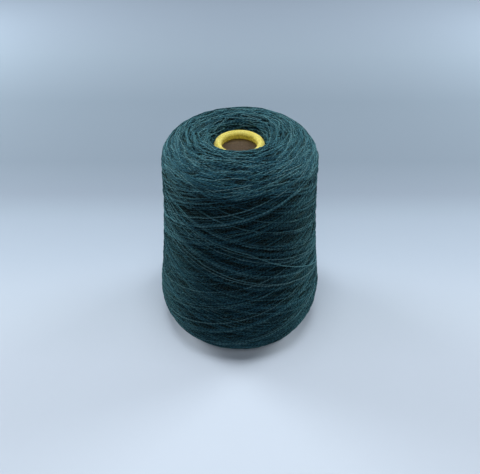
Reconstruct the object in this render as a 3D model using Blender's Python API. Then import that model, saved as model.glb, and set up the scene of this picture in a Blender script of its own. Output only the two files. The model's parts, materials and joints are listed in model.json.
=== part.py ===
"""A cone of knitting yarn: a paper winding cone with a rolled nose, and the yarn wound on it.

Metres, +Z up. The origin is the centre of the cone's base edge, which the object stands on,
and +Z is the cone's axis, towards its nose. Radii are measured from that axis.
"""

import math

import bmesh
import bpy
from mathutils import Vector

# Paper cone
CONE_LENGTH = 0.170  # from the base edge to the top of the rolled nose
HALF_ANGLE = math.radians(5.95)  # the 5 degrees 57 minutes cone
NOSE_RADIUS = 0.0181  # outer surface of the cone, carried up to its full length
WALL = 0.0025  # board thickness, measured across the axis
EDGE_CHAMFER = 0.0003  # on the cut base edge

# Rolled nose: the end of the board, curled inwards
ROLL_RADIUS = 0.0026  # half the thickness of the roll
ROLL_DEPTH = 0.0070  # from the top of the nose to the bottom of the curl
ROLL_LIP_ROUND = 0.0008  # the curl's lower inner edge

# Yarn and its package
YARN_DIAMETER = 0.0011
BASE_REVEAL = 0.0055  # bare cone below the yarn
BASE_DISH = 0.0020  # how far the lower face of the package rises towards the cone
LOWER_FACE_MARGIN = 0.0070  # flat rim of the lower face, inside the lower shoulder
UPPER_RADIUS = 0.0577  # package radius where the side ends and the upper shoulder begins
UPPER_FLARE = 0.0015  # how far that place stands out from the cone's taper
UPPER_SHOULDER_DROP = 0.0127  # from the top of the nose down to that place
UPPER_SHOULDER_START = math.radians(3.0)  # where the side meets the shoulder's ellipse
LOWER_SHOULDER_WIDTH = 0.0124  # half-axes of the lower shoulder's ellipse
LOWER_SHOULDER_HEIGHT = 0.0275
LOWER_SHOULDER_END = math.radians(108.0)  # where the side meets it, past the widest place
WAIST = 0.00205  # how far the side is drawn in halfway up
CREST_RADIUS = 0.0293  # the highest ring of the package, round the dish
CREST_RISE = 0.0077  # how far it stands above the nose
DISH_FOOT_DROP = 0.0050  # from the top of the nose down to where the dish meets the cone
DISH_FOOT_GAP = 0.0005  # the dish's foot stands this far outside the bore

# Running end: the last length of yarn, lying on the package, as degrees round the axis
# from the front (-Y) towards +X, and the share of the package's height
RUNNING_END_ROUTE = (
    (-236, 0.950),
    (-200, 0.915),
    (-150, 0.845),
    (-100, 0.780),
    (-60, 0.736),
    (-36, 0.712),
    (-12, 0.668),
    (8, 0.622),
    (26, 0.550),
    (48, 0.462),
    (72, 0.366),
    (110, 0.222),
    (140, 0.130),
    (166, 0.070),
)
RUNNING_END_POINTS = 80

SEAT_GAP = 0.0003  # between pieces that touch
SEGMENTS = 72  # round the axis

TAPER = math.tan(HALF_ANGLE)
ROLL_SEAT_Z = CONE_LENGTH - ROLL_DEPTH
PACKAGE_BOTTOM = BASE_REVEAL
PACKAGE_TOP = CONE_LENGTH + CREST_RISE
UPPER_SHOULDER_Z = CONE_LENGTH - UPPER_SHOULDER_DROP
SIDE_FOOT_Z = PACKAGE_BOTTOM + LOWER_SHOULDER_HEIGHT * (1.0 - math.cos(LOWER_SHOULDER_END))
SIDE_FOOT_RADIUS = UPPER_RADIUS - UPPER_FLARE + (UPPER_SHOULDER_Z - SIDE_FOOT_Z) * TAPER
LOWER_FACE_RADIUS = SIDE_FOOT_RADIUS - LOWER_SHOULDER_WIDTH * math.sin(LOWER_SHOULDER_END)
BORE_GAP = SEAT_GAP / math.cos(HALF_ANGLE)


def clear_scene():
    for thing in list(bpy.data.objects):
        bpy.data.objects.remove(thing, do_unlink=True)


def material(name, colour, roughness):
    made = bpy.data.materials.new(name)
    made.use_nodes = True
    shader = made.node_tree.nodes["Principled BSDF"]
    shader.inputs["Base Color"].default_value = (*colour, 1.0)
    shader.inputs["Roughness"].default_value = roughness
    shader.inputs["Metallic"].default_value = 0.0
    return made


def cone_radius(z):
    """Outer radius of the paper cone at a height."""
    return NOSE_RADIUS + (CONE_LENGTH - z) * TAPER


def bore_radius(z):
    """Radius of the package's bore, which the paper cone fills."""
    return cone_radius(z) + BORE_GAP


def arc(centre, radius, start, end, steps):
    """Points (r, z) on a circle from one angle to another, both included."""
    angles = [start + (end - start) * i / steps for i in range(steps + 1)]
    return [(centre[0] + radius * math.cos(a), centre[1] + radius * math.sin(a)) for a in angles]


def cone_profile():
    """The board below the nose, round its section from the base's inner edge."""
    low, high = cone_radius(0.0), cone_radius(ROLL_SEAT_Z)
    return [
        (low - WALL + EDGE_CHAMFER, 0.0),
        (low - EDGE_CHAMFER, 0.0),
        (cone_radius(EDGE_CHAMFER), EDGE_CHAMFER),
        (cone_radius(ROLL_SEAT_Z / 2), ROLL_SEAT_Z / 2),
        (high, ROLL_SEAT_Z),
        (high - WALL, ROLL_SEAT_Z),
        (cone_radius(ROLL_SEAT_Z / 2) - WALL, ROLL_SEAT_Z / 2),
        (cone_radius(EDGE_CHAMFER) - WALL, EDGE_CHAMFER),
    ]


def nose_profile():
    """The rolled nose: outside in line with the cone, a round crown, and a curl hanging inside."""
    bottom = ROLL_SEAT_Z + SEAT_GAP
    centre_r = NOSE_RADIUS + ROLL_RADIUS * TAPER - ROLL_RADIUS / math.cos(HALF_ANGLE)
    crown = arc((centre_r, CONE_LENGTH - ROLL_RADIUS), ROLL_RADIUS, HALF_ANGLE, math.pi, 12)
    lip_centre = (centre_r - ROLL_RADIUS + ROLL_LIP_ROUND, bottom + ROLL_LIP_ROUND)
    lip = arc(lip_centre, ROLL_LIP_ROUND, math.pi, 1.5 * math.pi, 4)
    return [(cone_radius(bottom), bottom)] + crown + lip


def lower_shoulder(steps):
    """An ellipse from the rim of the lower face out past the widest place."""
    points = []
    for i in range(steps):
        turn = LOWER_SHOULDER_END * i / steps
        radius = LOWER_FACE_RADIUS + LOWER_SHOULDER_WIDTH * math.sin(turn)
        points.append((radius, PACKAGE_BOTTOM + LOWER_SHOULDER_HEIGHT * (1.0 - math.cos(turn))))
    return points


def side(steps):
    """The side, parallel to the cone but for its slight waist."""
    points = []
    for i in range(steps):
        share = i / steps
        radius = SIDE_FOOT_RADIUS + (UPPER_RADIUS - SIDE_FOOT_RADIUS) * share
        radius -= WAIST * 4.0 * share * (1.0 - share)
        points.append((radius, SIDE_FOOT_Z + (UPPER_SHOULDER_Z - SIDE_FOOT_Z) * share))
    return points


def upper_shoulder(steps):
    """An ellipse from the side's end over to the crest, both included."""
    width = (UPPER_RADIUS - CREST_RADIUS) / math.cos(UPPER_SHOULDER_START)
    height = (PACKAGE_TOP - UPPER_SHOULDER_Z) / (1.0 - math.sin(UPPER_SHOULDER_START))
    points = []
    for i in range(steps + 1):
        turn = UPPER_SHOULDER_START + (0.5 * math.pi - UPPER_SHOULDER_START) * i / steps
        points.append((CREST_RADIUS + width * math.cos(turn), PACKAGE_TOP - height * (1.0 - math.sin(turn))))
    return points


def outer_profile(shoulder_steps=10, side_steps=8):
    """The package's outside, from the lower face's rim up over both shoulders to the crest."""
    return lower_shoulder(shoulder_steps) + side(side_steps) + upper_shoulder(shoulder_steps)


def dish_profile(steps=8):
    """The dish round the nose, from just inside the crest down to the cone."""
    foot_z = CONE_LENGTH - DISH_FOOT_DROP
    foot_r = bore_radius(foot_z) + DISH_FOOT_GAP
    points = []
    for i in range(1, steps + 1):
        turn = 0.5 * math.pi * i / steps
        radius = CREST_RADIUS - (CREST_RADIUS - foot_r) * math.sin(turn)
        points.append((radius, foot_z + (PACKAGE_TOP - foot_z) * math.cos(turn)))
    return points + [(bore_radius(foot_z - DISH_FOOT_GAP), foot_z - DISH_FOOT_GAP)]


def package_profile():
    """The whole section of the package, round from its bore's lower edge."""
    inner_z = PACKAGE_BOTTOM + BASE_DISH
    lower_face = [
        (bore_radius(inner_z), inner_z),
        (LOWER_FACE_RADIUS - LOWER_FACE_MARGIN, PACKAGE_BOTTOM),
    ]
    return lower_face + outer_profile() + dish_profile()


def turned(name, profile, finish, sharp_degrees=30.0):
    """A closed section (r, z), spun once round Z into one closed solid."""
    mesh = bpy.data.meshes.new(name)
    builder = bmesh.new()
    corners = [builder.verts.new((radius, 0.0, z)) for radius, z in profile]
    edges = [builder.edges.new((a, b)) for a, b in zip(corners, corners[1:] + corners[:1])]
    bmesh.ops.spin(
        builder,
        geom=corners + edges,
        axis=(0.0, 0.0, 1.0),
        cent=(0.0, 0.0, 0.0),
        angle=2.0 * math.pi,
        steps=SEGMENTS,
        use_merge=True,
    )
    bmesh.ops.recalc_face_normals(builder, faces=builder.faces[:])
    builder.to_mesh(mesh)
    builder.free()
    mesh.shade_smooth()
    mesh.set_sharp_from_angle(angle=math.radians(sharp_degrees))
    mesh.materials.append(finish)
    made = bpy.data.objects.new(name, mesh)
    bpy.context.scene.collection.objects.link(made)
    return made


def smooth_between(points, share):
    """A point at a share (0 to 1) of a Catmull-Rom curve through a list of points."""
    place = min(share * (len(points) - 1), len(points) - 1 - 1e-9)
    first = int(place)
    t = place - first
    picks = [points[max(0, min(len(points) - 1, first + k))] for k in (-1, 0, 1, 2)]
    found = []
    for a, b, c, d in zip(*picks):
        square, cube = 2 * a - 5 * b + 4 * c - d, 3 * b - a - 3 * c + d
        found.append(0.5 * (2 * b + (c - a) * t + square * t**2 + cube * t**3))
    return found


def on_package(height):
    """The package's outer radius at a height, and the outward direction (r, z) there."""
    profile = outer_profile(shoulder_steps=60, side_steps=60)
    for (low_r, low_z), (high_r, high_z) in zip(profile, profile[1:]):
        if low_z <= height <= high_z:
            share = (height - low_z) / (high_z - low_z)
            across = Vector((high_z - low_z, low_r - high_r)).normalized()
            return low_r + (high_r - low_r) * share, across
    raise ValueError("the running end leaves the package's outside")


def running_end_points():
    """The centre line of the running end, lying on the package."""
    lift = SEAT_GAP + 0.5 * YARN_DIAMETER
    points = []
    for i in range(RUNNING_END_POINTS):
        degrees, height_share = smooth_between(RUNNING_END_ROUTE, i / (RUNNING_END_POINTS - 1))
        height = PACKAGE_BOTTOM + height_share * (PACKAGE_TOP - PACKAGE_BOTTOM)
        radius, outward = on_package(height)
        radius += lift * outward.x
        turn = math.radians(degrees)
        points.append((radius * math.sin(turn), -radius * math.cos(turn), height + lift * outward.y))
    return points


def strand(name, points, finish):
    """A length of yarn as a round tube with closed ends."""
    curve = bpy.data.curves.new(name, "CURVE")
    curve.dimensions = "3D"
    curve.bevel_depth = 0.5 * YARN_DIAMETER
    curve.bevel_resolution = 2
    curve.use_fill_caps = True
    spline = curve.splines.new("POLY")
    spline.points.add(len(points) - 1)
    for spot, place in zip(spline.points, points):
        spot.co = (*place, 1.0)
    curve.materials.append(finish)
    made = bpy.data.objects.new(name, curve)
    bpy.context.scene.collection.objects.link(made)
    return made


def main():
    clear_scene()
    board = material("brown_board", (0.115, 0.083, 0.060), 0.85)
    nose_dye = material("yellow_nose", (0.62, 0.52, 0.10), 0.80)
    yarn = material("green_yarn", (0.040, 0.098, 0.112), 0.90)
    turned("paper_cone", cone_profile(), board)
    turned("nose_roll", nose_profile(), nose_dye)
    turned("yarn_package", package_profile(), yarn)
    strand("running_end", running_end_points(), yarn)


main()
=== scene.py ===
"""The looks of a cone of knitting yarn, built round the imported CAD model.

The yarn is wound here as the machine winds it: strand by strand on the surface that the
CAD package gives, each strand lying on those under it. Metres, +Z up, the cone's axis on Z.
A place on the package is (turn, s): the angle round the axis from the front (-Y) towards +X,
and the distance along the package's section from the bore's lower edge, out along the lower
face, up the side, over the crest and down into the dish.
"""

import json
import math

import bpy
import numpy as np
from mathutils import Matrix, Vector

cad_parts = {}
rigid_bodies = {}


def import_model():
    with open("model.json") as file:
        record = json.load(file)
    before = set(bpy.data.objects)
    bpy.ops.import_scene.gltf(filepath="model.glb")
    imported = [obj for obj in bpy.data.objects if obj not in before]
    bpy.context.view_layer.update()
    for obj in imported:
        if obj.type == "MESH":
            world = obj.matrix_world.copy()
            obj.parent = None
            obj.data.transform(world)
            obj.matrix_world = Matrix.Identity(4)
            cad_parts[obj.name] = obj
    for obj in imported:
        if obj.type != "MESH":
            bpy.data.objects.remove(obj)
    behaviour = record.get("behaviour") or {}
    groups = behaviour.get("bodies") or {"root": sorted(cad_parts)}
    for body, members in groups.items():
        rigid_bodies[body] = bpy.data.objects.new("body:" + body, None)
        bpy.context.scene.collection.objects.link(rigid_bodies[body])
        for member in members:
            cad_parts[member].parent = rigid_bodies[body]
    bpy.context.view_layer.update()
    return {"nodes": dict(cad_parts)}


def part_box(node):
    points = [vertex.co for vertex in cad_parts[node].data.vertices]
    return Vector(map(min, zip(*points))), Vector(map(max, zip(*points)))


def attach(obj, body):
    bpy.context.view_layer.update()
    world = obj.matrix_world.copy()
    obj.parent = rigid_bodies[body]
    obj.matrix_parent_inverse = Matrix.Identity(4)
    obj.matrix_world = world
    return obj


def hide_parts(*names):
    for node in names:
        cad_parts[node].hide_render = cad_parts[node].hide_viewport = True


for thing in list(bpy.data.objects):
    bpy.data.objects.remove(thing, do_unlink=True)
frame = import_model()
RANDOM = np.random.default_rng(20)

MM = 0.001
FULL = 2.0 * math.pi

# Yarn
YARN_RADIUS = 0.55 * MM
WOUND_RADIUS = 0.32 * MM  # under winding tension
PRESS = 0.75  # how far a soft strand keeps its thickness where another crosses it
CROSSING_RELIEF = 0.9  # how much of a crossing's bump is left under tension
CROSSING_LIMIT = 0.4 * MM
SAMPLE = 0.375 * MM  # step along a strand while it is laid
NEWER_MESH = (4, 6)  # samples to one ring of a strand's mesh, and sides
OLDER_MESH = (6, 4)

# Body winding: strokes up and down the side, each pair a little further round than the last
STROKES = 380
STROKES_PER_LAYER = 97  # until the winding has crept once round
TURNS_PER_STROKE = 1.5 + 1.0 / STROKES_PER_LAYER
NEWER_STROKES = 150
LAYER_DEPTH = 0.58 * MM  # from one such layer down to the next
REVERSAL_SHARE = 0.15  # share of a stroke taken by each of its two curved ends

# End faces: short arcs, the turning places of older layers, some deeper than others
ARC_DEPTHS = (0.0, 1.4 * MM)
CROWN_ARCS = 1900
FOOT_ARCS = 600
ARC_HALF_TURN = (0.25, 0.62)  # radians, so that arcs are shorter near the bore
ARC_END_SLOPE = 0.36
ARC_LEAN = 5.5 * MM  # over the radius: arcs lean more near the bore
BED_DEPTH = 2.1 * MM  # the solid body of buried yarn, under all strands

# Shade of a strand, about 0 to 1: a random tone, with painted shade that darkens deep yarn and its
# pressed places, and a painted highlight on its proud places
SHADES = (0.20, 1.18)
DEEP_SHADE = 0.34 / MM
PROUD_SHADE = 0.20

# The grid that remembers how high the yarn already lies
COLUMNS = 720
CELL = 0.4 * MM

# Fibres
YARN_FIBRES = 5000
NOSE_FIBRES = 3000

# Running end: two plies twisted round each other
RUNNING_END_SHADE = 0.8
RUNNING_END_RADIUS = 0.8 * YARN_RADIUS
RUNNING_END_SIDES = 12
PLIES = 2
PLY_LAY = 5.5 * MM  # length of one full turn of the plies

# Its route, as in the CAD model: degrees round the axis and share of the package's height
RUNNING_END_ROUTE = (
    (-236, 0.950),
    (-200, 0.915),
    (-150, 0.845),
    (-100, 0.780),
    (-60, 0.736),
    (-36, 0.712),
    (-12, 0.668),
    (8, 0.622),
    (26, 0.550),
    (48, 0.462),
    (72, 0.366),
    (110, 0.222),
    (140, 0.130),
    (166, 0.070),
)


# ---------------------------------------------------------------- sections of the CAD model


def section(node):
    """The closed section (r, z) of a turned CAD node, read from its mesh in the half plane +X."""
    mesh = frame["nodes"][node].data
    spots = np.array([v.co for v in mesh.vertices])
    inside = (np.abs(spots[:, 1]) < 1e-6) & (spots[:, 0] > 0.0)
    key = {i: tuple(np.round(spots[i, [0, 2]], 7)) for i in np.flatnonzero(inside)}
    links = {}
    for edge in mesh.edges:
        a, b = (key.get(v) for v in edge.vertices)
        if a and b and a != b:
            links.setdefault(a, set()).add(b)
            links.setdefault(b, set()).add(a)
    start = min(links, key=lambda p: (p[1], p[0]))
    loop = [start]
    last = None
    while True:
        onward = [p for p in links[loop[-1]] if p != last]
        nearest = min(onward, key=lambda p: math.dist(p, loop[-1]))
        last = loop[-1]
        if nearest == start or nearest in loop:
            return np.array(loop)
        loop.append(nearest)


def smoothed(values, width):
    """A running average with a bell-shaped weight; the ends are held."""
    reach = max(1, int(3 * width))
    weight = np.exp(-0.5 * (np.arange(-reach, reach + 1) / width) ** 2)
    padded = np.pad(values, reach, mode="edge")
    return np.convolve(padded, weight / weight.sum(), mode="valid")


class Surface:
    """The package's outside as a smooth curve (r, z) by distance s, with its outward direction."""

    STEP = 0.1 * MM
    ROUNDING = 1.6 * MM

    def __init__(self):
        loop = section("yarn_package")
        gaps = np.linalg.norm(np.roll(loop, -1, axis=0) - loop, axis=1)
        cut = int(np.argmax(gaps))  # the bore is the longest straight edge
        open_line = np.roll(loop, -(cut + 1), axis=0)
        if open_line[0, 1] > open_line[-1, 1]:
            open_line = open_line[::-1]
        along = np.concatenate([[0.0], np.cumsum(np.linalg.norm(np.diff(open_line, axis=0), axis=1))])
        self.length = along[-1]
        self.s = np.arange(0.0, self.length, self.STEP)
        width = self.ROUNDING / self.STEP
        self.r = smoothed(np.interp(self.s, along, open_line[:, 0]), width)
        self.z = smoothed(np.interp(self.s, along, open_line[:, 1]), width)
        dr, dz = np.gradient(self.r), np.gradient(self.z)
        size = np.hypot(dr, dz)
        self.nr, self.nz = dz / size, -dr / size
        self.crest = self.s[np.argmax(self.z)]
        self.widest = self.s[np.argmax(self.r)]
        rim = np.argmin(self.z)
        self.rim = self.s[rim]
        self.outer = slice(rim, np.argmax(self.z) + 1)

    def radius(self, s):
        return np.interp(s, self.s, self.r)

    def at_height(self, z):
        """Distance s of the place on the outside at a height."""
        return np.interp(z, self.z[self.outer], self.s[self.outer])

    def place(self, turn, s, lift):
        """World points and outward directions at (turn, s), lift above the surface."""
        nr, nz = np.interp(s, self.s, self.nr), np.interp(s, self.s, self.nz)
        size = np.hypot(nr, nz)
        nr, nz = nr / size, nz / size
        r = np.interp(s, self.s, self.r) + nr * lift
        z = np.interp(s, self.s, self.z) + nz * lift
        sine, cosine = np.sin(turn), np.cos(turn)
        points = np.stack([r * sine, -r * cosine, z], axis=-1)
        outward = np.stack([nr * sine, -nr * cosine, nz], axis=-1)
        return points, outward


SURFACE = Surface()


def swell(turn, s):
    """How far the soft package stands off a true turned shape, most at the crest's front right."""
    rim = np.exp(-(((s - SURFACE.crest) / (13 * MM)) ** 2)) * np.cos(turn - math.radians(38.0))
    broad = np.sin(2.0 * turn + 40.0 * s + 0.6) + 0.7 * np.sin(3.0 * turn - 70.0 * s + 2.0)
    fine = np.sin(5.0 * turn + 130.0 * s) * np.sin(190.0 * s + 1.3)
    side = np.exp(-(((s - SURFACE.crest + 75 * MM) / (45 * MM)) ** 2)) * np.sin(turn)
    return MM * (0.95 * rim + 0.5 * side + 0.16 * broad + 0.12 * fine)


# ---------------------------------------------------------------- laying the strands


class Strand:
    """One length of yarn on the package: its path, and its height once it has been laid."""

    def __init__(self, turn, s, group, shade, depth):
        self.turn = turn
        self.s = s
        self.group = group
        self.shade = shade
        self.depth = depth


def even_steps(turn, s):
    """The same path with a sample every SAMPLE along it."""
    radius = SURFACE.radius(0.5 * (s[1:] + s[:-1]))
    pieces = np.hypot(np.diff(turn) * radius, np.diff(s))
    along = np.concatenate([[0.0], np.cumsum(pieces)])
    wanted = np.arange(0.0, along[-1], SAMPLE)
    return np.interp(wanted, along, turn), np.interp(wanted, along, s)


def wander(count, size, lengths=(22 * MM, 47 * MM, 96 * MM)):
    """A gentle random wander along a strand."""
    along = np.arange(count) * SAMPLE
    total = np.zeros(count)
    for length in lengths:
        total += np.sin(FULL * along / length + RANDOM.uniform(0.0, FULL)) * RANDOM.uniform(0.3, 1.0)
    return size * total / len(lengths)


def stroke_shape(share):
    """Traverse position along a stroke: straight, with a parabola at each end."""
    slope = 1.0 / (1.0 - REVERSAL_SHARE)
    start = slope * share**2 / (2.0 * REVERSAL_SHARE)
    end = 1.0 - slope * (1.0 - share) ** 2 / (2.0 * REVERSAL_SHARE)
    middle = slope * (share - 0.5 * REVERSAL_SHARE)
    return np.where(share < REVERSAL_SHARE, start, np.where(share > 1.0 - REVERSAL_SHARE, end, middle))


def strand_shade():
    """Most strands are dull, and a few, drawn at random, get a painted highlight."""
    return SHADES[0] + (SHADES[1] - SHADES[0]) * RANDOM.random() ** 2.2


def body_strands():
    """Strokes up and down the side, oldest first."""
    strands = []
    per_stroke = TURNS_PER_STROKE * FULL
    low = SURFACE.widest - 17 * MM
    share = np.linspace(0.0, 1.0, 800)
    for stroke in range(STROKES):
        turn = -(STROKES - stroke) * per_stroke
        depth = LAYER_DEPTH * (STROKES - stroke) / STROKES_PER_LAYER
        if stroke % 2 == 0:
            high = SURFACE.crest - RANDOM.uniform(14 * MM, 34 * MM)
            start, end = low, high
        else:
            low = SURFACE.widest - RANDOM.uniform(10 * MM, 25 * MM)
            start, end = high, low
        slack = RANDOM.normal(0.0, math.radians(0.45)) * np.sin(math.pi * share)
        turns = turn + per_stroke * share + slack
        turns, s = even_steps(turns, start + (end - start) * stroke_shape(share))
        strands.append(Strand(turns, s + wander(len(s), 0.13 * MM), "body", strand_shade(), depth))
    return strands


def arc_strands(group, count, oldest, newest):
    """Turning places of buried layers, oldest first; their ends run towards the newer yarn."""
    tops = np.linspace(oldest, newest, 400)
    weight = np.cumsum(SURFACE.radius(tops))
    apexes = np.interp((np.arange(count) + 0.5) / count, weight / weight[-1], tops)
    towards = 1.0 if newest > oldest else -1.0
    strands = []
    for apex in apexes:
        radius = SURFACE.radius(apex)
        half = radius * RANDOM.uniform(*ARC_HALF_TURN)
        x = np.linspace(-half, half, 160)
        lean = RANDOM.normal(0.0, ARC_LEAN / radius)
        bend = towards * ARC_END_SLOPE * x**2 / (2.0 * half)
        s = apex + RANDOM.normal(0.0, 1.6 * MM) + bend + lean * x
        s = np.clip(s, 0.6 * MM, SURFACE.length - 0.6 * MM)
        turn = RANDOM.uniform(0.0, FULL) + x / radius
        turn, s = even_steps(turn, s)
        s = s + wander(len(s), 0.55 * MM, (9 * MM, 17 * MM, 31 * MM))
        s = np.clip(s, 0.4 * MM, SURFACE.length - 0.4 * MM)
        strands.append(Strand(turn, s, group, strand_shade(), RANDOM.uniform(*ARC_DEPTHS)))
    return strands


def through(points, share):
    """A Catmull-Rom curve through points, at shares (0 to 1) of its length."""
    padded = np.vstack([points[:1], points, points[-1:]])
    place = np.clip(share * (len(points) - 1), 0.0, len(points) - 1 - 1e-9)
    first = place.astype(int)
    t = (place - first)[:, None]
    a, b, c, d = (padded[first + k] for k in range(4))
    square, cube = 2 * a - 5 * b + 4 * c - d, 3 * b - a - 3 * c + d
    return 0.5 * (2 * b + (c - a) * t + square * t**2 + cube * t**3)


def running_end():
    """The last length of yarn, along the CAD model's route."""
    low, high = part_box("yarn_package")
    degrees, heights = through(np.array(RUNNING_END_ROUTE, dtype=float), np.linspace(0.0, 1.0, 600)).T
    turn, s = even_steps(np.radians(degrees), SURFACE.at_height(low[2] + heights * (high[2] - low[2])))
    return Strand(turn, s, "running_end", RUNNING_END_SHADE, 0.0)


def highest_near(values, reach):
    """The highest value within reach samples to each side."""
    found = values.copy()
    for shift in range(1, reach + 1):
        found[shift:] = np.maximum(found[shift:], values[:-shift])
        found[:-shift] = np.maximum(found[:-shift], values[shift:])
    return found


class Pile:
    """The height of the yarn laid so far, on a grid over the package."""

    ACROSS = np.linspace(-0.8, 0.8, 5) * WOUND_RADIUS

    def __init__(self, floor=0.0):
        self.rows = int(SURFACE.length / CELL) + 2
        self.top = np.full((self.rows, COLUMNS), floor)

    def under(self, strand):
        """The cells that a strand covers, five across."""
        column = np.round(strand.turn / FULL * COLUMNS).astype(int) % COLUMNS
        row = np.round((strand.s[None, :] + self.ACROSS[:, None]) / CELL).astype(int)
        row = np.clip(row, 0, self.rows - 1)
        return row, np.broadcast_to(column[None, :], row.shape)

    def rest(self, strand):
        """How high a strand lies on what is there: it bridges narrow dips and sinks in a little."""
        below = self.top[self.under(strand)]
        bridged = smoothed(highest_near(below.max(axis=0), 4), 4.0)
        sunk = smoothed(below.mean(axis=0), 3.0)
        return 0.4 * bridged + 0.6 * sunk + PRESS * WOUND_RADIUS

    def cover(self, strand, lift):
        crown = PRESS * np.sqrt(WOUND_RADIUS**2 - self.ACROSS**2)
        np.maximum.at(self.top, self.under(strand), lift[None, :] + crown[:, None])

    def buried(self, strand):
        """Samples with so much yarn over them that nothing of them shows."""
        over = (self.top[self.under(strand)] - strand.lift[None, :]).min(axis=0)
        return over > 1.9 * WOUND_RADIUS


def wind():
    """Lays every strand, oldest first, and sets its height over the CAD surface.

    Tension keeps each layer level, so of the heights that the laying gives, only the bumps
    where one strand crosses another are kept.
    """
    strands = arc_strands("crown", CROWN_ARCS, SURFACE.length - 1.0 * MM, SURFACE.crest - 31 * MM)
    strands += arc_strands("foot", FOOT_ARCS, 1.5 * MM, SURFACE.widest - 4 * MM)
    strands += body_strands()
    strands.append(running_end())
    laid = Pile()
    for strand in strands:
        height = laid.rest(strand)
        laid.cover(strand, height)
        bump = smoothed(height, 1.5) - smoothed(height, 24.0)
        bump = CROSSING_LIMIT * np.tanh(CROSSING_RELIEF * bump / CROSSING_LIMIT)
        strand.lift = bump - strand.depth
        # Painted shade on deeper yarn and on sunk places, and a painted highlight on proud crossings
        strand.shade = strand.shade - DEEP_SHADE * strand.depth + PROUD_SHADE * bump / CROSSING_LIMIT
    final = Pile(-BED_DEPTH)
    for strand in strands:
        final.cover(strand, strand.lift)
    for strand in strands:
        strand.hidden = final.buried(strand)
        strand.lift = strand.lift + swell(strand.turn, strand.s)
    return strands


# ---------------------------------------------------------------- meshes


def quad_object(name, points, quads, uvs=None, values=None):
    """A smooth mesh object from arrays of points and quads, with its UV maps and point values."""
    mesh = bpy.data.meshes.new(name)
    mesh.vertices.add(len(points))
    mesh.vertices.foreach_set("co", np.ascontiguousarray(points, dtype=np.float32).ravel())
    mesh.loops.add(quads.size)
    mesh.loops.foreach_set("vertex_index", np.ascontiguousarray(quads, dtype=np.int32).ravel())
    mesh.polygons.add(len(quads))
    mesh.polygons.foreach_set("loop_start", np.arange(0, quads.size, 4, dtype=np.int32))
    mesh.update(calc_edges=True)
    for layer, coordinates in (uvs or {}).items():
        made = mesh.uv_layers.new(name=layer)
        made.data.foreach_set("uv", np.ascontiguousarray(coordinates, dtype=np.float32).ravel())
    for key, numbers in (values or {}).items():
        attribute = mesh.attributes.new(key, "FLOAT", "POINT")
        attribute.data.foreach_set("value", np.ascontiguousarray(numbers, dtype=np.float32))
    mesh.shade_smooth()
    made = bpy.data.objects.new(name, mesh)
    bpy.context.scene.collection.objects.link(made)
    return made


def visible_runs(strand, step):
    """The stretches of a strand that show, as lists of sample numbers."""
    shows = ~strand.hidden
    shows = highest_near(shows.astype(float), 3) > 0.5
    edges = np.flatnonzero(np.diff(np.concatenate([[0], shows.astype(int), [0]])))
    runs = []
    for first, after in zip(edges[::2], edges[1::2]):
        picks = np.arange(first, after, step)
        if len(picks) >= 3:
            runs.append(picks)
    return runs


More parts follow.
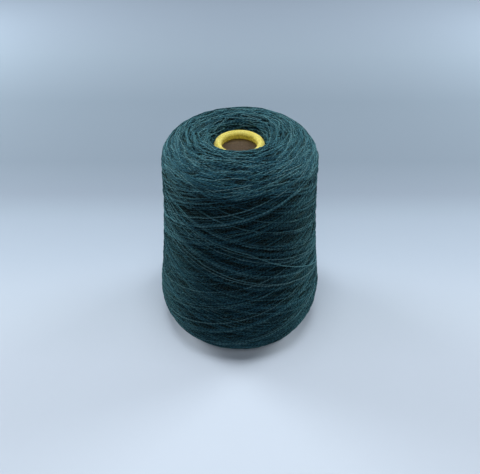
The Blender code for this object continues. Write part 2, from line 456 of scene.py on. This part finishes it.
class Tubes:
    """Gathers tubes into one mesh: points, quads, the strand map, the bake map and a shade."""

    def __init__(self, sides):
        self.sides = sides
        self.points, self.quads, self.around, self.shades, self.caps = [], [], [], [], []
        self.segments = 0
        self.count = 0

    def add(self, centres, outward, radii, along, shade, flat=1.0):
        """One closed tube. radii is (rings, sides); flat under 1 presses it against the surface."""
        rings, sides = len(centres), self.sides
        ahead = np.gradient(centres, axis=0)
        ahead /= np.linalg.norm(ahead, axis=1)[:, None]
        aside = np.cross(outward, ahead)
        aside /= np.linalg.norm(aside, axis=1)[:, None]
        out = np.cross(ahead, aside)
        angle = FULL * np.arange(sides) / sides
        ring = (
            np.cos(angle)[None, :, None] * aside[:, None, :] / flat
            + np.sin(angle)[None, :, None] * out[:, None, :] * flat
        )
        points = centres[:, None, :] + radii[:, :, None] * ring
        base = self.count + np.arange(rings - 1)[:, None] * sides
        j = np.arange(sides)[None, :]
        k = (j + 1) % sides
        quads = np.stack([base + j, base + k, base + sides + k, base + sides + j], axis=-1)
        u0 = np.broadcast_to(j / sides, quads.shape[:2])
        v0 = np.broadcast_to(along[:-1, None], quads.shape[:2])
        v1 = np.broadcast_to(along[1:, None], quads.shape[:2])
        u1 = u0 + 1.0 / sides
        corners = ((u0, v0), (u1, v0), (u1, v1), (u0, v1))
        uv = np.stack([np.stack(pair, axis=-1) for pair in corners], axis=2)
        self.points.append(points.reshape(-1, 3))
        self.quads.append(quads.reshape(-1, 4))
        self.around.append(uv.reshape(-1, 4, 2))
        self.shades.append(np.repeat(np.broadcast_to(shade, rings), sides))
        self.segments += rings - 1
        first, last = self.count, self.count + (rings - 1) * sides
        fan = np.arange(1, sides - 2, 2)
        ends = [[first, first + i + 2, first + i + 1, first + i] for i in fan]
        ends += [[last, last + i, last + i + 1, last + i + 2] for i in fan]
        self.caps.extend(ends)
        self.count += rings * sides

    def bake_map(self):
        """Every segment of every tube in its own small patch, in rows across the square."""
        columns = max(1, int(math.ceil(math.sqrt(self.segments * 2.2))))
        rows = int(math.ceil((self.segments + 1) / columns))
        number = np.arange(self.segments)
        u = (number % columns) / columns
        v = (number // columns) / rows
        j = np.arange(self.sides)
        keep = 0.90  # of a row's height, so that rows don't bleed into each other
        v0 = v[:, None] + keep * j[None, :] / self.sides / rows
        v1 = v0 + keep / self.sides / rows
        u0 = np.broadcast_to(u[:, None], v0.shape)
        u1 = u0 + 1.0 / columns
        corners = ((u0, v0), (u0, v1), (u1, v1), (u1, v0))
        return np.stack([np.stack(pair, axis=-1) for pair in corners], axis=2).reshape(-1, 4, 2)

    def object(self, name):
        quads = np.concatenate(self.quads + [np.array(self.caps)])
        cap_count = len(self.caps)
        around = np.concatenate(self.around + [np.zeros((cap_count, 4, 2))])
        bake = np.concatenate([self.bake_map(), np.full((cap_count, 4, 2), 0.999)])
        uvs = {"strand": around.reshape(-1, 2), "OFBake": bake.reshape(-1, 2)}
        shades = {"shade": np.concatenate(self.shades)}
        return quad_object(name, np.concatenate(self.points), quads, uvs, shades)


def strand_tube(tubes, strand, picks):
    """Adds one visible stretch of a strand: a soft tube, now thicker and now thinner."""
    centres, outward = SURFACE.place(strand.turn[picks], strand.s[picks], strand.lift[picks])
    uneven = 1.0 + 0.07 * smoothed(RANDOM.normal(size=len(picks)), 1.5)
    radii = WOUND_RADIUS * uneven[:, None] * (1.0 + 0.05 * RANDOM.normal(size=(len(picks), tubes.sides)))
    tubes.add(centres, outward, radii, picks * SAMPLE / MM, strand.shade[picks], flat=0.93)


def winding_object(name, strands, step, sides):
    tubes = Tubes(sides)
    for strand in strands:
        for picks in visible_runs(strand, step):
            strand_tube(tubes, strand, picks)
    return tubes.object(name)


def running_end_object(strand):
    """The running end close up: a thicker tube with the shape of its plies."""
    tubes = Tubes(RUNNING_END_SIDES)
    picks = np.arange(len(strand.turn))
    centres, outward = SURFACE.place(strand.turn, strand.s, strand.lift + 0.25 * YARN_RADIUS)
    angle = FULL * np.arange(RUNNING_END_SIDES)[None, :] / RUNNING_END_SIDES
    twist = FULL * (picks * SAMPLE / PLY_LAY)[:, None]
    radii = RUNNING_END_RADIUS * (0.98 + 0.13 * np.cos(PLIES * (angle - twist)))
    radii = radii * (1.0 + 0.05 * smoothed(RANDOM.normal(size=len(picks)), 3.0))[:, None]
    tubes.add(centres, outward, radii, picks * SAMPLE / MM, RUNNING_END_SHADE)
    return tubes.object("running_end_strand")


def lathe(name, profile, segments, shape=None):
    """A closed section (r, z) turned round Z. shape(turn, r, z) may bend it."""
    turn = FULL * np.arange(segments)[:, None] / segments
    r = np.broadcast_to(profile[None, :, 0], (segments, len(profile)))
    z = np.broadcast_to(profile[None, :, 1], (segments, len(profile)))
    if shape:
        r, z = shape(turn, r, z)
    points = np.stack([r * np.sin(turn), -r * np.cos(turn), z], axis=-1).reshape(-1, 3)
    count = len(profile)
    i = np.arange(segments)[:, None]
    j = np.arange(count)[None, :]
    i2, j2 = (i + 1) % segments, (j + 1) % count
    quads = np.stack([i * count + j, i2 * count + j, i2 * count + j2, i * count + j2], axis=-1)
    edges = np.linalg.norm(np.roll(profile, -1, axis=0) - profile, axis=1)
    along = np.concatenate([[0.0], np.cumsum(edges)])
    along /= along[-1]
    u0 = np.broadcast_to(i / segments, quads.shape[:2])
    u1 = u0 + 1.0 / segments
    v0 = np.broadcast_to(along[None, :-1], quads.shape[:2])
    v1 = np.broadcast_to(along[None, 1:], quads.shape[:2])
    corners = ((u0, v0), (u1, v0), (u1, v1), (u0, v1))
    uv = np.stack([np.stack(pair, axis=-1) for pair in corners], axis=2).reshape(-1, 2)
    return quad_object(name, points, quads.reshape(-1, 4), {"OFBake": uv})


def resampled(loop, step):
    """A closed loop with a point about every step."""
    closed = np.vstack([loop, loop[:1]])
    along = np.concatenate([[0.0], np.cumsum(np.linalg.norm(np.diff(closed, axis=0), axis=1))])
    wanted = np.linspace(0.0, along[-1], max(8, int(along[-1] / step)), endpoint=False)
    return np.stack([np.interp(wanted, along, closed[:, k]) for k in (0, 1)], axis=1)


def counterclockwise(loop):
    """The loop turned so that a lathe's faces point out of the solid."""
    nxt = np.roll(loop, -1, axis=0)
    area = np.sum(loop[:, 0] * nxt[:, 1] - nxt[:, 0] * loop[:, 1])
    return loop if area > 0 else loop[::-1]


def winding_bed():
    """The buried yarn: a closed body under the strands, dark with painted shade."""
    s = np.arange(0.0, SURFACE.length, 1.2 * MM)
    r = np.interp(s, SURFACE.s, SURFACE.r) - np.interp(s, SURFACE.s, SURFACE.nr) * BED_DEPTH
    z = np.interp(s, SURFACE.s, SURFACE.z) - np.interp(s, SURFACE.s, SURFACE.nz) * BED_DEPTH
    bore = section("paper_cone")
    cone_low, cone_high = bore[:, 0].max(), bore[bore[:, 1] > bore[:, 1].max() - MM, 0].max()
    tall = bore[:, 1].max()
    clear = 0.15 * MM

    def bore_at(height):
        return cone_low + (cone_high - cone_low) * height / tall + clear

    ends = [(bore_at(z[-1]), z[-1] - 0.4 * MM), (bore_at(z[0]), z[0])]
    profile = np.vstack([np.stack([r, z], axis=1), ends])

    def bend(turn, r, z):
        push = swell(turn, np.append(s, [s[-1], s[0]])[None, :])
        push = np.where(np.arange(len(profile))[None, :] < len(s), push, 0.0)
        nr = np.append(np.interp(s, SURFACE.s, SURFACE.nr), [0.0, 0.0])
        nz = np.append(np.interp(s, SURFACE.s, SURFACE.nz), [0.0, 0.0])
        return r + push * nr, z + push * nz

    return lathe("winding_bed", profile, 180, bend)


def fuzz_object(strands, count):
    """Loose fibres that stand off the strands."""
    tubes = Tubes(4)
    lengths = np.array([len(st.turn) for st in strands], dtype=float)
    chosen = RANDOM.choice(len(strands), size=3 * count, p=lengths / lengths.sum())
    made = 0
    for number in chosen:
        strand = strands[number]
        spot = RANDOM.integers(4, len(strand.turn) - 4)
        if strand.hidden[spot]:
            continue
        if made == count:
            break
        made += 1
        at = slice(spot, spot + 2)
        centres, outward = SURFACE.place(strand.turn[at], strand.s[at], strand.lift[at])
        ahead = centres[1] - centres[0]
        ahead /= np.linalg.norm(ahead)
        normal = outward[0]
        aside = np.cross(normal, ahead)
        length = RANDOM.uniform(0.9, 2.8) * MM
        share = np.linspace(0.0, 1.0, 5)[:, None]
        heading = ahead * RANDOM.normal(0.0, 1.0) + aside * RANDOM.normal(0.0, 0.8)
        heading = heading + normal * RANDOM.uniform(0.2, 1.1)
        heading /= np.linalg.norm(heading)
        curl = ahead * RANDOM.normal(0.0, 0.7) + aside * RANDOM.normal(0.0, 0.7)
        curl = curl - normal * RANDOM.uniform(0.1, 0.7)
        path = centres[0] + normal * 0.6 * YARN_RADIUS + length * (heading * share + curl * share**2)
        radii = np.broadcast_to(0.022 * MM * (1.0 - 0.6 * share), (5, 4))
        tubes.add(path, np.broadcast_to(normal, (5, 3)), radii, share[:, 0], strand.shade[spot])
    return tubes.object("yarn_fuzz")


# ---------------------------------------------------------------- materials


class Nodes:
    """Short ways to add and link shader nodes."""

    def __init__(self, name):
        self.material = bpy.data.materials.new(name)
        self.material.use_nodes = True
        self.tree = self.material.node_tree
        self.shader = self.tree.nodes["Principled BSDF"]

    def add(self, kind, inputs=None, **settings):
        node = self.tree.nodes.new(kind)
        for key, value in settings.items():
            setattr(node, key, value)
        for key, value in (inputs or {}).items():
            self.put(value, node.inputs[key])
        return node

    def put(self, value, socket):
        if isinstance(value, bpy.types.NodeSocket):
            self.tree.links.new(value, socket)
        else:
            socket.default_value = value

    def math(self, operation, a, b=0.0):
        return self.add("ShaderNodeMath", {0: a, 1: b}, operation=operation).outputs[0]

    def mix(self, share, a, b, blend="MIX"):
        node = self.add("ShaderNodeMix", data_type="RGBA", blend_type=blend)
        self.put(share, node.inputs[0])
        self.put(a, node.inputs[6])
        self.put(b, node.inputs[7])
        return node.outputs[2]

    def noise(self, vector, scale, detail=2.0, roughness=0.5):
        settings = {"Scale": scale, "Detail": detail, "Roughness": roughness}
        node = self.add("ShaderNodeTexNoise", settings)
        self.put(vector, node.inputs["Vector"])
        return node.outputs["Fac"]

    def ramp(self, value, low, high, to_low=0.0, to_high=1.0):
        sockets = {"Value": value, "From Min": low, "From Max": high}
        sockets.update({"To Min": to_low, "To Max": to_high})
        return self.add("ShaderNodeMapRange", sockets).outputs["Result"]

    def bump(self, height, strength, distance):
        node = self.add("ShaderNodeBump", {"Strength": strength, "Distance": distance, "Height": height})
        self.put(node.outputs["Normal"], self.shader.inputs["Normal"])

    def set(self, **values):
        for key, value in values.items():
            self.put(value, self.shader.inputs[key.replace("_", " ")])


def yarn_material(name, colour):
    """Matt spun yarn: twisted plies, fibres along the twist, strands that differ a little, and painted
    shade and highlight: darker ply grooves, strand sides and deep strands, and lighter strand tops.
    """
    n = Nodes(name)
    uv = n.add("ShaderNodeSeparateXYZ", {0: n.add("ShaderNodeUVMap", uv_map="strand").outputs[0]})
    around, along = uv.outputs[0], uv.outputs[1]
    spin = n.math("MULTIPLY", n.math("ADD", around, n.math("MULTIPLY", along, MM / PLY_LAY)), FULL)
    plies = n.math("COSINE", n.math("MULTIPLY", spin, float(PLIES)))
    plies = n.math("ADD", n.math("MULTIPLY", plies, 0.5), 0.5)
    twisted = n.add(
        "ShaderNodeCombineXYZ",
        {
            0: n.math("MULTIPLY", n.math("COSINE", spin), 1.6),
            1: n.math("MULTIPLY", n.math("SINE", spin), 1.6),
            2: n.math("MULTIPLY", along, 0.45),
        },
    ).outputs[0]
    fibres = n.noise(twisted, 3.2, detail=3.0, roughness=0.65)
    patches = n.noise(n.add("ShaderNodeTexCoord").outputs["Object"], 42.0, detail=3.0)
    strand = n.add("ShaderNodeAttribute", attribute_name="shade").outputs["Fac"]
    level = n.ramp(fibres, 0.25, 0.75, 0.55, 1.45)
    # Painted shade: darker in the grooves between the plies
    level = n.math("MULTIPLY", level, n.ramp(plies, 0.0, 0.8, 0.52, 1.16))
    # The strand's shade value scales the colour, and with it its painted shade and painted highlight
    level = n.math("MULTIPLY", level, n.ramp(strand, 0.0, 1.0, 0.0, 2.1))
    # Painted shade on the strand's sides where neighbours touch, and a painted highlight on its outer
    # side
    facing = n.math("SINE", n.math("MULTIPLY", around, FULL))  # 1 on the strand's outer side
    level = n.math("MULTIPLY", level, n.ramp(facing, 0.0, 0.9, 0.12, 1.4))
    level = n.math("MULTIPLY", level, n.ramp(patches, 0.3, 0.7, 0.92, 1.08))
    # Painted shade colour: strands with a low shade value turn bluer
    deep = (colour[0] * 0.45, colour[1] * 0.96, colour[2] * 1.30, 1.0)
    tint = n.mix(n.ramp(strand, 0.25, 0.7), deep, (*colour, 1.0))
    # Painted highlight colour: strands with a high shade value turn greyer
    pale = (colour[0] * 1.75, colour[1] * 0.98, colour[2] * 0.90, 1.0)
    tint = n.mix(n.ramp(strand, 0.55, 1.15), tint, pale)
    base = n.add("ShaderNodeVectorMath", {0: tint, 3: level}, operation="SCALE").outputs[0]
    height = n.math("ADD", n.math("MULTIPLY", plies, 0.7), n.math("MULTIPLY", fibres, 0.5))
    n.bump(height, 0.8, 0.16 * MM)
    n.set(Base_Color=base, Roughness=0.92, Sheen_Weight=0.42, Sheen_Roughness=0.45)
    n.set(Sheen_Tint=(0.28, 0.82, 0.84, 1.0), Specular_IOR_Level=0.18)
    return n.material


def bed_material():
    """Buried yarn seen in the gaps: dark with painted shade, with the lines of strands in it."""
    n = Nodes("buried_yarn_painted_shade")
    place = n.add("ShaderNodeTexCoord").outputs["Object"]
    stretched = n.add("ShaderNodeMapping", {0: place, 3: (1.0, 1.0, 6.0)}).outputs[0]
    lines = n.noise(stretched, 160.0, detail=3.0)
    # Painted shade: the buried yarn is darker than the strands over it
    base = n.mix(n.ramp(lines, 0.35, 0.65), (0.005, 0.022, 0.032, 1.0), (0.012, 0.050, 0.072, 1.0))
    n.bump(lines, 0.6, 0.4 * MM)
    n.set(Base_Color=base, Roughness=0.95, Specular_IOR_Level=0.1)
    return n.material


def nose_material():
    """Yellow flocked board: grainy, with painted shade that makes it a little darker and greener in its
    pits, painted light low inside the roll, and painted shadow at the lower lip.
    """
    n = Nodes("yellow_nose_finish")
    place = n.add("ShaderNodeTexCoord").outputs["Object"]
    grain = n.noise(place, 1500.0, detail=3.0, roughness=0.6)
    patches = n.noise(place, 160.0, detail=2.0)
    light = n.mix(n.ramp(patches, 0.35, 0.7), (0.81, 0.70, 0.16, 1.0), (0.88, 0.80, 0.27, 1.0))
    height = n.add("ShaderNodeSeparateXYZ", {0: place}).outputs[2]
    # Painted light: golden and brighter low inside the roll, where the roll is in shade
    light = n.mix(n.ramp(height, 0.1690, 0.1665), light, (0.96, 0.76, 0.07, 1.0))
    # Painted shade: darker and greener in the pits of the grain
    base = n.mix(n.ramp(grain, 0.62, 0.35), light, (0.58, 0.48, 0.08, 1.0))
    # Dark brown at the lower lip: the bare board's edge, darkened with painted shadow under the lip
    lip = n.math("ADD", height, n.math("MULTIPLY", grain, 3.0 * MM))
    base = n.mix(n.ramp(lip, 0.1667, 0.1655, 0.0, 0.9), base, (0.15, 0.09, 0.03, 1.0))
    n.bump(grain, 0.8, 0.25 * MM)
    n.set(Base_Color=base, Roughness=0.9, Sheen_Weight=0.25, Sheen_Roughness=0.4)
    n.set(Sheen_Tint=(1.0, 0.95, 0.6, 1.0), Specular_IOR_Level=0.2)
    return n.material


def board_material():
    """Brown paperboard, made paler than its own brown as painted light for the dim bore: long fibres,
    flecks and a mottled glaze.
    """
    n = Nodes("brown_board_finish")
    place = n.add("ShaderNodeTexCoord").outputs["Object"]
    stretched = n.add("ShaderNodeMapping", {0: place, 3: (1.0, 1.0, 3.5)}).outputs[0]
    fibres = n.noise(stretched, 420.0, 4.0, 0.65)
    mottle = n.noise(place, 55.0, detail=3.0)
    flecks = n.ramp(n.noise(place, 900.0, detail=1.0), 0.66, 0.72)
    # Painted light: these browns are paler than the board's own, to light the dim inside of the cone
    base = n.mix(n.ramp(fibres, 0.3, 0.7), (0.55, 0.42, 0.325, 1.0), (0.80, 0.66, 0.545, 1.0))
    base = n.mix(n.ramp(mottle, 0.3, 0.75, 0.0, 0.35), base, (0.60, 0.47, 0.37, 1.0))
    base = n.mix(n.math("MULTIPLY", flecks, 0.5), base, (0.74, 0.63, 0.52, 1.0))
    n.bump(fibres, 0.5, 0.12 * MM)
    n.set(Base_Color=base, Roughness=n.ramp(mottle, 0.3, 0.7, 0.72, 0.86), Specular_IOR_Level=0.3)
    return n.material


# ---------------------------------------------------------------- the paper cone and its nose


def nose_object():
    """The rolled nose: crimped where the board is gathered inwards, with a ragged lower lip."""
    profile = counterclockwise(resampled(section("nose_roll"), 0.22 * MM))
    low, high = profile[:, 1].min(), profile[:, 1].max()
    middle = 0.5 * (profile[:, 0].min() + profile[:, 0].max())

    def shape(turn, r, z):
        inner = np.clip((middle - r) / (2.4 * MM), 0.0, 1.0)
        down = np.clip((high - z) / (high - low), 0.0, 1.0)
        crimp = np.sin(34 * turn + 2.2 * np.sin(3 * turn)) * 0.6 + np.sin(53 * turn + 1.9) * 0.4
        ragged = np.sin(71 * turn + 2.0 * np.sin(5 * turn)) + 0.8 * np.sin(127 * turn)
        ragged = ragged + 0.6 * np.sin(211 * turn + 1.0)
        soft = 0.05 * MM * np.sin(9 * turn + 900.0 * z) + 0.08 * MM * np.sin(2 * turn + 1.0)
        bent = r + inner * down * 0.13 * MM * crimp + soft
        lower = inner * down**3 * 0.16 * MM * ragged
        return bent, z + lower + 0.1 * MM * np.sin(turn + 0.8) * (1.0 - down)

    return lathe("rolled_nose", profile, 420, shape)


def nose_flock(count):
    """Short yellow fibres on the nose."""
    profile = counterclockwise(resampled(section("nose_roll"), 0.22 * MM))
    nxt = np.roll(profile, -1, axis=0)
    normal = np.stack([nxt[:, 1] - profile[:, 1], profile[:, 0] - nxt[:, 0]], axis=1)
    normal /= np.linalg.norm(normal, axis=1)[:, None]
    inside = np.flatnonzero((profile[:, 1] > profile[:, 1].min() + 0.5 * MM) | (normal[:, 0] < 0.3))
    tubes = Tubes(4)
    for number in RANDOM.choice(inside, size=count):
        turn = RANDOM.uniform(0.0, FULL)
        radial = np.array([math.sin(turn), -math.cos(turn), 0.0])
        sideways = np.array([math.cos(turn), math.sin(turn), 0.0])
        upward = np.array([0.0, 0.0, 1.0])
        root = radial * profile[number, 0] + upward * profile[number, 1]
        out = radial * normal[number, 0] + upward * normal[number, 1]
        lean = sideways * RANDOM.normal(0.0, 0.6) + np.cross(out, sideways) * RANDOM.normal(0.0, 0.6)
        length = RANDOM.uniform(0.25, 0.6) * MM
        share = np.linspace(0.0, 1.0, 4)[:, None]
        path = root - out * 0.1 * MM + length * (out * share + lean * share**1.5)
        radii = np.broadcast_to(0.03 * MM * (1.0 - 0.7 * share), (4, 4))
        tubes.add(path, np.broadcast_to(sideways, (4, 3)), radii, share[:, 0], RANDOM.random())
    return tubes.object("nose_flock")


def board_object():
    """The paper cone, rolled from one blank: its inner ply ends in a slanting step."""
    loop = section("paper_cone")
    profile = counterclockwise(resampled(loop, 1.6 * MM))
    wall_middle = 0.5 * (loop[:, 0].max() + loop[loop[:, 1] < MM, 0].min())
    tall = loop[:, 1].max()
    taper = (loop[:, 0].max() - loop[loop[:, 1] > tall - MM, 0].max()) / tall
    ply = 0.35 * MM

    def shape(turn, r, z):
        inner = r < wall_middle - taper * z
        seam = np.mod(turn + 2.4 + 0.9 * z / tall, FULL) / FULL
        step = ply * (np.clip(seam / 0.006, 0.0, 1.0) - seam) * np.clip(z / (2 * MM), 0.0, 1.0)
        wave = 0.05 * MM * np.sin(7 * turn + 60 * z) + 0.04 * MM * np.sin(17 * turn - 110 * z)
        return r - np.where(inner, step + wave, 0.0), z

    return lathe("paper_cone_board", profile, 360, shape)


# ---------------------------------------------------------------- assembly


def dress(piece, material, slot, *replaced):
    """Finishes a piece: its material, the body it rides on and what it stands for. The slot argument is
    not used.
    """
    piece.data.materials.append(material)
    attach(piece, "root")
    if replaced:
        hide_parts(*replaced)


def build_object():
    strands = wind()
    yarn = yarn_material("green_yarn_finish", (0.0148, 0.0550, 0.0695))
    by_group = {name: [st for st in strands if st.group == name] for name in ("crown", "foot", "body")}
    older, newer = by_group["body"][:-NEWER_STROKES], by_group["body"][-NEWER_STROKES:]
    batches = {
        "crown_older": (by_group["crown"][::2], NEWER_MESH),
        "crown_newer": (by_group["crown"][1::2], NEWER_MESH),
        "foot_older": (by_group["foot"][::2], NEWER_MESH),
        "foot_newer": (by_group["foot"][1::2], NEWER_MESH),
        "body_older_1": (older[::2], OLDER_MESH),
        "body_older_2": (older[1::2], OLDER_MESH),
    }
    share = math.ceil(len(newer) / 5)
    for number in range(5):
        batches[f"body_newer_{number + 1}"] = (newer[number * share : (number + 1) * share], NEWER_MESH)
    for name, (batch, mesh) in batches.items():
        dress(winding_object(f"winding_{name}", batch, *mesh), yarn, "green_yarn", "yarn_package")
    dress(winding_bed(), bed_material(), "green_yarn", "yarn_package")
    dress(running_end_object(strands[-1]), yarn, "green_yarn", "running_end")
    dress(fuzz_object(strands, YARN_FIBRES), yarn, "green_yarn")
    nose = nose_material()
    dress(nose_object(), nose, "yellow_nose", "nose_roll")
    dress(nose_flock(NOSE_FIBRES), nose, "yellow_nose")
    dress(board_object(), board_material(), "brown_board", "paper_cone")


# ---------------------------------------------------------------- floor, light and camera


# Floor tone by distance behind the object, painted shade: it deepens where the backdrop begins, then
# recovers
FLOOR_TONES = (
    (-0.15, (0.560, 0.622, 0.712)),
    (-0.07, (0.545, 0.608, 0.700)),
    (-0.02, (0.500, 0.565, 0.650)),
    (0.06, (0.405, 0.472, 0.560)),
    (0.12, (0.345, 0.408, 0.490)),
    (0.17, (0.262, 0.314, 0.382)),
    (0.24, (0.222, 0.273, 0.333)),
    (0.41, (0.232, 0.288, 0.350)),
    (0.61, (0.312, 0.380, 0.458)),
    (0.89, (0.392, 0.470, 0.574)),
)


BACKDROP = (0.392, 0.497, 0.610, 1.0)  # past the lit floor, for the camera alone
FAR_FLOOR = (0.9, 1.5)  # metres from the object, where the lit floor passes into it


def floor_material():
    """Pale plain floor with a soft fall in tone behind the object, which is painted shade, and painted
    light under the object's front edge; it throws little light on it.
    """
    n = Nodes("pale_floor")
    spot = n.add("ShaderNodeTexCoord").outputs["Object"]
    place = n.add("ShaderNodeSeparateXYZ", {0: spot})
    first, last = FLOOR_TONES[0][0], FLOOR_TONES[-1][0]
    # Painted shade along the floor, from FLOOR_TONES
    tones = n.add("ShaderNodeValToRGB", {0: n.ramp(place.outputs[1], first, last)})
    stops = tones.color_ramp.elements
    stops[0].color = (*FLOOR_TONES[0][1], 1.0)
    stops[1].color = (*FLOOR_TONES[-1][1], 1.0)
    for away, colour in FLOOR_TONES[1:-1]:
        stops.new((away - first) / (last - first)).color = (*colour, 1.0)
    base = tones.outputs[0]
    rays = n.add("ShaderNodeLightPath")
    seen = n.math("MAXIMUM", rays.outputs["Is Camera Ray"], rays.outputs["Is Glossy Ray"])
    seen = n.math("MAXIMUM", seen, rays.outputs["Is Transmission Ray"])
    base = n.mix(seen, (0.30, 0.36, 0.45, 1.0), base)
    distance = n.add("ShaderNodeVectorMath", {0: spot}, operation="LENGTH").outputs["Value"]
    # Painted light: the floor is paler just in front of the object's edge, to lift the shadow there
    in_front = n.ramp(place.outputs[1], -0.015, -0.045)
    painted_contact_light = n.math("MULTIPLY", n.ramp(distance, 0.070, 0.056), in_front)  # paler under the edge
    base = n.mix(n.math("MULTIPLY", painted_contact_light, 0.8), base, (0.82, 0.90, 1.0, 1.0))
    far = n.ramp(distance, *FAR_FLOOR)
    base = n.mix(far, base, (0.0, 0.0, 0.0, 1.0))
    glow = n.math("MULTIPLY", far, rays.outputs["Is Camera Ray"])
    n.set(Base_Color=base, Roughness=0.85, Specular_IOR_Level=0.1)
    n.set(Emission_Color=BACKDROP, Emission_Strength=glow)
    return n.material


def stage():
    """The floor and the world: a weak fill light, and a pale backdrop for the camera alone."""
    bpy.ops.mesh.primitive_plane_add(size=30.0, location=(0.0, 0.0, 0.0))
    floor = bpy.context.object
    floor.name = "floor"
    floor.data.materials.append(floor_material())
    world = bpy.data.worlds.new("studio")
    bpy.context.scene.world = world
    world.use_nodes = True
    tree = world.node_tree
    fill = tree.nodes["Background"]
    fill.inputs["Color"].default_value = (0.70, 0.85, 1.0, 1.0)
    fill.inputs["Strength"].default_value = 0.13
    seen = tree.nodes.new("ShaderNodeBackground")
    seen.inputs["Color"].default_value = BACKDROP
    chosen = tree.nodes.new("ShaderNodeMixShader")
    rays = tree.nodes.new("ShaderNodeLightPath")
    tree.links.new(rays.outputs["Is Camera Ray"], chosen.inputs[0])
    tree.links.new(fill.outputs[0], chosen.inputs[1])
    tree.links.new(seen.outputs[0], chosen.inputs[2])
    tree.links.new(chosen.outputs[0], tree.nodes["World Output"].inputs["Surface"])


def softbox(name, place, target, size, power, colour):
    light = bpy.data.lights.new(name, "AREA")
    light.shape = "RECTANGLE"
    light.size, light.size_y = size
    light.energy = power
    light.color = colour
    made = bpy.data.objects.new(name, light)
    made.location = place
    aim = np.array(target) - np.array(place)
    made.rotation_euler = Vector(aim).to_track_quat("-Z", "Y").to_euler()
    bpy.context.scene.collection.objects.link(made)


def lights():
    middle = (0.0, 0.0, 0.09)
    softbox("overhead", (0.0, -0.05, 1.15), (0.0, -0.05, 0.0), (0.45, 0.32), 7.4, (0.97, 0.99, 1.0))
    softbox("front", (0.0, -0.75, 1.0), middle, (0.9, 0.5), 2.3, (0.97, 0.99, 1.0))
    softbox("left", (-1.0, 0.55, 0.45), middle, (0.5, 0.7), 13.5, (0.96, 0.99, 1.0))
    softbox("right", (1.0, 0.55, 0.45), middle, (0.5, 0.7), 12.0, (0.96, 0.99, 1.0))


def camera():
    data = bpy.data.cameras.new("camera")
    data.lens = 38.0
    data.sensor_width = 36.0
    data.shift_x = 0.0012
    made = bpy.data.objects.new("camera", data)
    made.location = (0.0, -0.3201, 0.3571)
    made.rotation_euler = (math.radians(90.0 - 41.02), 0.0, 0.0)
    bpy.context.scene.collection.objects.link(made)
    bpy.context.scene.camera = made


build_object()
stage()
lights()
camera()
bpy.context.scene.view_settings.view_transform = "Standard"
